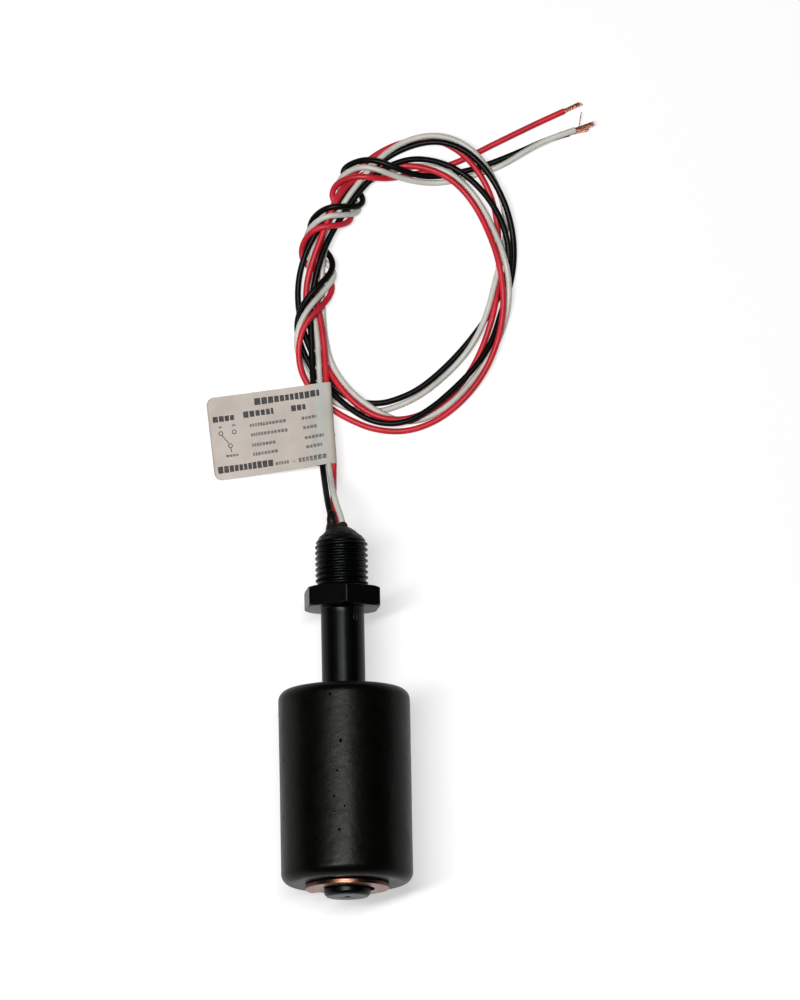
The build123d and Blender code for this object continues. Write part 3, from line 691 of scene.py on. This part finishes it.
# From under the label's corner, wound round the loop's left side, to the free ends.
WOUND = {
    "black": [
        (-1.5, 88.6, 0.8), (-4.3, 91.6, 0.8), (-6.8, 94.8, 0.8), (-8.8, 98.6, 1.2),
        (-10.2, 102.5, 2.2), (-10.7, 106.4, 3.6), (-9.8, 110.8, 4.8), (-7.2, 114.6, 5.6),
        (-4.4, 117.3, 5.4), (-1.9, 120.2, 4.0), (-0.9, 123.0, 2.2), (-2.2, 126.6, 0.9),
        (-4.9, 129.4, 0.8), (-6.7, 132.0, 1.6), (-6.4, 134.8, 3.4), (-4.4, 136.7, 4.9),
        (-1.8, 137.8, 5.7), (1.2, 138.2, 5.6), (4.4, 137.9, 4.6), (6.9, 139.0, 2.8),
        (7.3, 141.4, 1.4), (5.6, 143.9, 0.8), (3.2, 145.6, 0.8), (2.0, 147.4, 1.2),
        (2.7, 149.2, 2.8), (5.0, 150.3, 4.6), (8.4, 150.8, 5.6), (12.1, 150.1, 5.6),
        (16.0, 148.6, 4.6), (20.0, 147.3, 3.4), (24.0, 146.6, 2.2), (28.3, 146.7, 1.0),
        (33.5, 147.7, 0.86),
    ],
    "white": [
        (-1.5, 86.4, 0.8), (-5.4, 89.8, 0.8), (-8.4, 94.0, 0.8), (-9.9, 98.0, 1.6),
        (-10.7, 101.8, 2.8), (-10.1, 106.0, 4.2), (-8.6, 109.4, 5.2), (-6.6, 112.1, 5.7),
        (-4.3, 114.9, 5.5), (-1.9, 117.8, 4.2), (-0.6, 120.6, 2.2), (-1.6, 123.0, 0.9),
        (-4.2, 125.2, 0.8), (-7.0, 127.6, 1.0), (-7.9, 130.6, 2.6), (-6.4, 132.9, 4.2),
        (-4.0, 134.5, 5.4), (-1.3, 135.4, 5.9), (1.4, 135.9, 5.6), (4.5, 136.4, 4.4),
        (6.4, 138.1, 2.4), (5.9, 140.4, 0.9), (3.6, 142.2, 0.8), (1.2, 143.6, 1.4),
        (1.6, 146.3, 3.4), (4.5, 148.3, 5.0), (8.1, 148.8, 5.7), (11.6, 147.9, 5.5),
        (15.0, 146.6, 4.6), (20.0, 145.5, 3.2), (24.5, 144.8, 2.2), (29.5, 144.9, 1.1),
        (34.5, 146.0, 0.86),
    ],
    "red": [
        (-1.3, 84.0, 0.8), (-5.0, 87.5, 0.8), (-8.2, 91.0, 0.8), (-9.8, 95.0, 1.4),
        (-10.4, 99.2, 2.6), (-10.0, 103.8, 4.2), (-8.3, 107.3, 5.3), (-6.0, 109.9, 5.7),
        (-3.7, 112.3, 5.3), (-1.8, 115.2, 3.8), (-1.0, 117.9, 1.8), (-2.6, 120.2, 0.8),
        (-5.6, 121.8, 0.8), (-8.4, 123.4, 1.2), (-9.1, 126.0, 2.8), (-8.4, 128.6, 4.2),
        (-6.6, 130.9, 5.2), (-4.1, 132.4, 5.8), (-1.5, 132.8, 5.8), (1.4, 133.3, 5.0),
        (3.7, 134.7, 3.2), (4.2, 136.9, 1.4), (2.4, 138.7, 0.8), (0.1, 139.6, 1.0),
        (-0.6, 141.2, 2.4), (-0.5, 143.2, 3.8), (0.9, 144.9, 4.9), (3.4, 145.8, 5.5),
        (6.7, 146.2, 5.6), (9.9, 145.9, 5.2), (13.6, 145.9, 4.0), (17.8, 146.8, 1.8),
        (22.3, 147.8, 0.8), (26.4, 148.8, 0.8), (30.4, 149.8, 0.86), (33.3, 150.9, 0.86),
    ],
}


def turn_points(colour):
    """The control points of a lead's two turns round the loop."""
    ring = np.array(RING)
    along = np.roll(ring, -1, axis=0) - np.roll(ring, 1, axis=0)
    along /= np.linalg.norm(along, axis=1)[:, None]
    outward = np.stack([-along[:, 1], along[:, 0]], axis=1)
    points = []
    for lanes in TURNS[colour]:
        for place, way, (across, layer) in zip(ring, outward, lanes):
            x, y = place + way * across
            points.append((x, y, LEAD_RADIUS + layer * LAYER_HEIGHT))
    return points


def spline_matrix(count, per_span):
    """How points along a clamped quadratic spline depend on its control points."""
    knots = np.concatenate([[0, 0], np.arange(count - 1), [count - 2, count - 2]]).astype(float)
    t = np.linspace(0, count - 2, (count - 2) * per_span + 1)
    basis = np.zeros((len(t), count + 2))
    for i in range(count + 1):
        basis[:, i] = (knots[i] <= t) & (t < knots[i + 1])
    basis[-1] = 0
    basis[-1, np.max(np.nonzero(knots[:-1] < knots[1:])[0])] = 1
    for degree in (1, 2):
        raised = np.zeros_like(basis)
        for i in range(count + 2 - degree):
            left = knots[i + degree] - knots[i]
            if left > 0:
                raised[:, i] += (t - knots[i]) / left * basis[:, i]
            if i + degree + 1 < len(knots):
                right = knots[i + degree + 1] - knots[i + 1]
                if right > 0:
                    raised[:, i] += (knots[i + degree + 1] - t) / right * basis[:, i + 1]
        basis = raised
    return basis[:, :count]


def settle(leads, held, rounds=260, per_span=5, room=1.62, sink=0.012):
    """Pushes the leads off each other and lets them down until they rest on each other.
    held says how many control points of each lead stay, at its start and at its end."""
    names = list(leads)
    matrices = [spline_matrix(len(leads[n]), per_span) for n in names]
    control = [leads[n].copy() for n in names]
    weight = [m.sum(axis=0)[:, None] + 1e-9 for m in matrices]
    owner = np.concatenate([np.full(len(m), k) for k, m in enumerate(matrices)])
    place = np.concatenate([np.arange(len(m)) for m in matrices])
    for step in range(rounds):
        ease = 1.0 if step < rounds * 0.8 else 0.3
        every = np.concatenate([m @ c for m, c in zip(matrices, control)])
        if step % 10 == 0:
            gap = np.linalg.norm(every[:, None, :] - every[None, :, :], axis=2)
            same = (owner[:, None] == owner[None, :]) & (abs(place[:, None] - place[None, :]) < 8)
            a, b = np.nonzero(np.triu((gap < room + 1.2) & ~same, 1))
        way = every[a] - every[b]
        distance = np.linalg.norm(way, axis=1)
        push = np.clip(room - distance, 0, None)
        hit = push > 0
        unit = way / np.maximum(distance, 0.05)[:, None]
        unit[:, 2] = np.sign(way[:, 2]) * np.minimum(np.abs(unit[:, 2]) * 1.5 + 0.1, 1.0)
        move = unit * (push * 0.5)[:, None]
        total, count = np.zeros_like(every), np.zeros(len(every))
        for ids, sign in ((a, 1), (b, -1)):
            np.add.at(total, ids[hit], sign * move[hit])
            np.add.at(count, ids[hit], 1)
        total /= np.maximum(np.sqrt(count), 1)[:, None]
        total[:, 2] += 0.8 * np.clip(LEAD_RADIUS - every[:, 2], 0, None)
        begin = 0
        for k, n in enumerate(names):
            m, c, first = matrices[k], control[k], leads[n]
            part = total[begin:begin + len(m)]
            begin += len(m)
            bend = np.zeros_like(c)
            bend[1:-1] = (c[:-2] + c[2:]) / 2 - c[1:-1]
            stiff = np.zeros_like(c)
            stiff[1:-1] = bend[1:-1] - (bend[:-2] + bend[2:]) / 2
            c += 1.3 * (m.T @ part) / weight[k] + 0.04 * ease * stiff
            c[:, :2] += 0.045 * ease * (first - c)[:, :2]
            c[:, 2] = np.maximum(c[:, 2] - sink * ease, LEAD_RADIUS)
            low, high = held[n]
            c[:low] = first[:low]
            c[len(c) - high:] = first[len(c) - high:]
    return dict(zip(names, control))


def route_of(routes):
    return [(x, LEAD_EXIT + y, z) for x, y, z in routes]


def through(points, first, last):
    """Moves control points outwards, so that the curve runs through where they were."""
    bend = np.zeros_like(points)
    bend[1:-1, :2] = (points[:-2] - 2 * points[1:-1] + points[2:])[:, :2] / 8
    bend[:first] = 0
    bend[len(points) - last:] = 0
    return points - bend * 1.15


planned, held = {}, {}
for colour in ("black", "white", "red"):
    start, tail = route_of(START_ROUTES[colour]), route_of(TAIL_ROUTES[colour])
    route = np.array(start + turn_points(colour) + WOUND[colour] + tail)
    planned[colour] = through(route, len(start), len(tail))
    held[colour] = (len(start) - 2, len(tail) - 1)
settled = settle(planned, held)

leads = {}
for colour, points in settled.items():
    data = bpy.data.curves.new(f"lead_{colour}", "CURVE")
    data.dimensions = "3D"
    spline = data.splines.new("NURBS")
    spline.points.add(len(points) - 1)
    for held_point, (x, y, z) in zip(spline.points, points):
        held_point.co = (x * MM, y * MM, z * MM, 1)
    spline.order_u = 3
    spline.use_endpoint_u = True
    spline.resolution_u = 8
    data.bevel_depth = LEAD_RADIUS * MM
    data.bevel_resolution = 5
    data.use_fill_caps = True
    data.materials.append(MATERIALS[f"insulation_{colour}"])
    lead = bpy.data.objects.new(f"lead_{colour}", data)
    scene.collection.objects.link(lead)
    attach(lead, "plug")
    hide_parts(f"lead_{colour}_start", f"lead_{colour}_tail", "lead_coil")
    leads[colour] = lead


# Bare copper at the leads' ends.
STRAND_LENGTHS = {"red": 5.2, "black": 5.6, "white": 5.4}
STRAND_SPREAD = {"red": 0.30, "black": 0.62, "white": 0.42}
STRAND_RADIUS, STRAND_EMBED = 0.12, 1.9
STRANDS_INSIDE, STRANDS = 5, 12


def stray_strand(end, way, side, up, t):
    """A point on the one strand that bends away from the others."""
    rise = max(t - 0.4, 0) / 0.6
    along = -STRAND_EMBED + 4.6 * min(t / 0.4, 1) + 1.9 * rise
    return end + way * along - side * (0.3 + 4.4 * rise) + up * 0.5


def build_strands(colour):
    end, before = (Vector(p) for p in (settled[colour][-1], settled[colour][-2]))
    way = (end - before).normalized()
    side = way.cross(Vector((0, 0, 1))).normalized()
    up = side.cross(way)
    skin = Surface()
    for k in range(STRANDS):
        inside = k < STRANDS_INSIDE
        ring_at = 0.0 if k == 0 else (0.27 if inside else 0.47)
        turn = 2 * pi * k / (4 if inside else 7)
        length = STRAND_LENGTHS[colour] * (0.84 + 0.16 * (0.5 + 0.5 * sin(7.3 * k + len(colour))))
        path = []
        for i in range(15):
            t = i / 14
            twist = turn + 1.7 * t
            out = ring_at * (0.94 + STRAND_SPREAD[colour] * t * t * (0.6 + 0.8 * sin(3.1 * k) ** 2))
            spot = end + way * ((length + STRAND_EMBED) * t - STRAND_EMBED)
            spot += side * out * cos(twist) + up * out * sin(twist)
            if colour == "black" and k == 7:
                spot += side * 0.5 * t ** 4
            if colour == "black" and k == 8:
                spot = stray_strand(end, way, side, up, t)
            spot.z = max(spot.z, 0.17)
            path.append(spot)
        rings = []
        for i, spot in enumerate(path):
            ahead = (path[min(i + 1, 14)] - path[max(i - 1, 0)]).normalized()
            x = ahead.cross(Vector((0, 0, 1))).normalized()
            y = x.cross(ahead)
            rings.append([tuple(spot + (x * cos(a) + y * sin(a)) * STRAND_RADIUS)
                          for a in around(8)])
        skin.rings(rings, cap_start=True, cap_end=True)
    return add_mesh(f"bare_{colour}", skin, "copper_strands", "plug", 60,
                    [f"strands_{colour}"])


strands = {colour: build_strands(colour) for colour in leads}


# Paper label and its print.
LABEL_TURN = radians(5.5)
LABEL_HEIGHT, LABEL_LEAF, LOOP_HALF, LOOP_HIGH = 22.4, 27.3, 3.1, 1.15
LEAF_SPACING, PAPER_THICKNESS = 0.15, 0.13
# How high the leaves' free edge lies, and the fold at the label's lower and upper edge.
EDGE_LIES, FOLD_LOWER, FOLD_UPPER = 0.2, 6.12, 3.4
LABEL_UP = Vector((-sin(LABEL_TURN), cos(LABEL_TURN), 0))
LABEL_RIGHT = Vector((cos(LABEL_TURN), sin(LABEL_TURN), 0))
LABEL_FOOT = Vector((-2.95, LEAD_EXIT + 18.6, 0))
CORNER = 2.1


def label_section(t):
    """The folded sheet's section at t millimetres above its lower edge: a closed fold as
    (across, height) from the front leaf's free edge, round the loop, to the back leaf's."""
    middle = FOLD_LOWER + (FOLD_UPPER - FOLD_LOWER) * t / LABEL_HEIGHT
    inset = 0.0
    for off in (t, LABEL_HEIGHT - t):
        if off < CORNER:
            inset = max(inset, CORNER - sqrt(max(CORNER ** 2 - (CORNER - off) ** 2, 0)))
    left = -LOOP_HALF - LABEL_LEAF + inset

    def leaf(w):
        share = (w + LOOP_HALF + LABEL_LEAF) / LABEL_LEAF
        sag = 0.35 * sin(pi * min(max(share, 0), 1)) * middle / 6
        return EDGE_LIES + (middle - EDGE_LIES) * share - sag

    steps = 44
    places = [left + (-LOOP_HALF - 0.6 - left) * i / steps for i in range(steps + 1)]
    front = [(w, leaf(w) + LEAF_SPACING / 2) for w in places]
    rise = [(-LOOP_HALF + 0.3, 0.42), (-LOOP_HALF + 1.2, 0.8), (-LOOP_HALF + 2.1, 1.0)]
    top = [(w, middle + LOOP_HIGH * h) for w, h in rise]
    fold = LOOP_HALF - 0.95 * (1 - t / LABEL_HEIGHT)
    turns = [pi / 2 - pi * i / 21 for i in range(22)]
    loop = [(fold - 1.45 + 1.38 * cos(angle), middle + (LOOP_HIGH - 0.07) * sin(angle))
            for angle in turns]
    under = [(w, middle - LOOP_HIGH * h) for w, h in rise[::-1]]
    back = [(w, h - LEAF_SPACING) for w, h in front[::-1]]
    upper = front + top + [(-0.2, middle + LOOP_HIGH)] + loop
    return upper + [(-0.2, middle - LOOP_HIGH)] + under + back


def ripple(w, t):
    return 0.05 * noise.noise(Vector((w * 0.12, t * 0.15, 3.0)))


def label_point(w, t, h):
    spot = LABEL_FOOT + LABEL_RIGHT * w + LABEL_UP * t
    return (spot.x, spot.y, h)


def build_label():
    rows = [LABEL_HEIGHT * i / 40 for i in range(41)]
    fine = [0.08, 0.2, 0.4, 0.75, 1.2, 1.7]
    rows = sorted(set(rows + fine + [LABEL_HEIGHT - f for f in fine]))
    skin = Surface()
    rings = []
    for t in rows:
        rings.append([label_point(w, t, h + ripple(w, t)) for w, h in label_section(t)])
    skin.rings(rings, closed=False)
    piece = add_mesh("paper_label", skin, "label_paper", "plug", 50, ["label"])
    solid = piece.modifiers.new("paper", "SOLIDIFY")
    solid.thickness = PAPER_THICKNESS * MM
    solid.offset = 0.0
    return piece


label = build_label()


# How many of a section's points run from the front leaf's edge round the loop. They turn back
# there, so print past the fold's middle gets the height of its underside and doesn't show.
ROUND_LOOP = 72


def on_label(u, v, lift=0.1):
    """A place on the front leaf, u from its left edge and v down from its top edge."""
    t = LABEL_HEIGHT - v
    w = u - LOOP_HALF - LABEL_LEAF
    across, heights = zip(*label_section(t)[:ROUND_LOOP])
    height = float(np.interp(w, across, heights)) + ripple(w, t)
    return label_point(w, t, height + lift)


def ink_strip(skin, corners):
    """A strip of print from a list of (u, v_top, v_low)."""
    base = len(skin.points)
    for u, v_top, v_low in corners:
        skin.points += [on_label(u, v) for v in (v_top, (v_top + v_low) / 2, v_low)]
    for i in range(len(corners) - 1):
        for k in range(2):
            a = base + 3 * i + k
            skin.faces.append((a, a + 1, a + 4, a + 3))


def ink_row(skin, start, end, v, height, block, gap, seed):
    """A row of blocks that stands for a line of print."""
    u, k = start, seed
    while u < end - 0.2:
        width = block * (0.75 + 0.5 * (0.5 + 0.5 * sin(12.9898 * k + 1.7)))
        stop = min(u + width, end)
        tall = height * (0.86 + 0.14 * (0.5 + 0.5 * sin(7.1 * k)))
        steps = max(2, int((stop - u) / 0.35))
        strip = [(u + (stop - u) * i / steps, v - tall / 2, v + tall / 2) for i in range(steps + 1)]
        ink_strip(skin, strip)
        u = stop + gap
        k += 1


def ink_circle(skin, u, v, radius, line):
    base, count = len(skin.points), 24
    for angle in around(count):
        for r in (radius - line / 2, radius + line / 2):
            skin.points.append(on_label(u + r * cos(angle), v + r * sin(angle)))
    for i in range(count):
        a, b = base + 2 * i, base + 2 * ((i + 1) % count)
        skin.faces.append((a, a + 1, b + 1, b))


def ink_line(skin, start, end, line):
    base = len(skin.points)
    first, last = Vector((*start, 0)), Vector((*end, 0))
    across = (last - first).cross(Vector((0, 0, 1))).normalized() * line / 2
    for i in range(7):
        spot = first.lerp(last, i / 6)
        for side in (across, -across):
            skin.points.append(on_label(spot.x + side.x, spot.y + side.y))
    for i in range(6):
        a = base + 2 * i
        skin.faces.append((a, a + 1, a + 3, a + 2))


def build_print():
    skin = Surface()
    ink_row(skin, 12.7, 33.0, 2.6, 1.85, 1.3, 0.3, 1)
    ink_row(skin, 1.2, 7.0, 6.0, 1.55, 1.2, 0.3, 2)
    ink_row(skin, 9.4, 17.4, 5.7, 1.75, 1.3, 0.35, 3)
    ink_row(skin, 22.2, 26.0, 5.8, 1.75, 1.35, 0.3, 4)
    ink_row(skin, 1.1, 15.8, 19.7, 1.85, 1.2, 0.26, 17)
    ink_circle(skin, 2.9, 9.9, 0.52, 0.2)
    ink_circle(skin, 6.5, 9.9, 0.52, 0.2)
    ink_circle(skin, 5.1, 13.5, 0.52, 0.2)
    ink_line(skin, (3.2, 10.5), (4.8, 12.9), 0.2)
    ink_line(skin, (5.1, 14.1), (5.2, 15.2), 0.2)
    bold = add_mesh("label_print", skin, "bold", "plug", 0)

    skin = Surface()
    for row, (v, right) in enumerate(((8.8, 28.6), (11.4, 28.4), (14.2, 33.0), (16.7, 29.2))):
        ink_row(skin, 10.8, (20.4, 20.8, 17.4, 17.6)[row], v, 0.9, 0.62, 0.2, 5 + row)
        ink_row(skin, 24.7 + 0.1 * row, right, v + 0.1, 0.9, 0.62, 0.2, 11 + row)
    ink_row(skin, 16.4, 20.2, 20.1, 0.95, 0.66, 0.22, 19)
    ink_row(skin, 21.1, 21.8, 20.2, 0.3, 0.7, 0.2, 20)
    ink_row(skin, 22.6, 31.6, 20.1, 1.35, 0.95, 0.26, 21)
    ink_row(skin, 2.5, 3.3, 8.2, 0.5, 0.8, 0.2, 30)
    ink_row(skin, 6.1, 7.0, 8.1, 0.5, 0.9, 0.2, 31)
    ink_row(skin, 3.7, 7.0, 16.2, 0.6, 0.7, 0.16, 32)
    fine = add_mesh("label_fine_print", skin, "fine", "plug", 0)
    return [bold, fine]


label_print = build_print()


# Floor and light.
def build_floor():
    half = 3.0
    mesh = bpy.data.meshes.new("floor")
    mesh.from_pydata([(-half, -half, 0), (half, -half, 0), (half, half, 0), (-half, half, 0)],
                     [], [(0, 1, 2, 3)])
    mat, shader, place = new_material("floor_white", 0.9, specular=0.0, Emission_Strength=0.6,
                                      Emission_Color=(1, 1, 1, 1))
    cloud = ramp(mat, noise_of(mat, place, 6, 2),
                 [(0.3, (0.4, 0.4, 0.4)), (0.7, (0.41, 0.41, 0.41))])
    link(mat, cloud, shader.inputs["Base Color"])
    mesh.materials.append(mat)
    floor = bpy.data.objects.new("floor", mesh)
    scene.collection.objects.link(floor)


def area_light(name, place, aim, width, height, energy):
    data = bpy.data.lights.new(name, "AREA")
    data.shape = "RECTANGLE"
    data.size, data.size_y = width, height
    data.energy = energy
    lamp = bpy.data.objects.new(name, data)
    scene.collection.objects.link(lamp)
    lamp.location = place
    lamp.rotation_euler = (Vector(aim) - Vector(place)).to_track_quat("-Z", "Y").to_euler()


build_floor()
area_light("key", (-0.25, -0.05, 1.3), (0.01, 0.06, 0), 0.14, 0.9, 19.0)
area_light("fill", (0.9, 0.9, 1.5), (0, 0.05, 0), 1.2, 1.2, 0.5)
area_light("front", (0.05, -1.3, 0.75), (0, 0, 0), 0.9, 0.35, 0.3)
world = bpy.data.worlds.new("world")
world.use_nodes = True
world.node_tree.nodes["Background"].inputs["Color"].default_value = (1, 1, 1, 1)
world.node_tree.nodes["Background"].inputs["Strength"].default_value = 0.02
scene.world = world
scene.view_settings.view_transform = "Standard"
scene.view_settings.gamma = 0.86
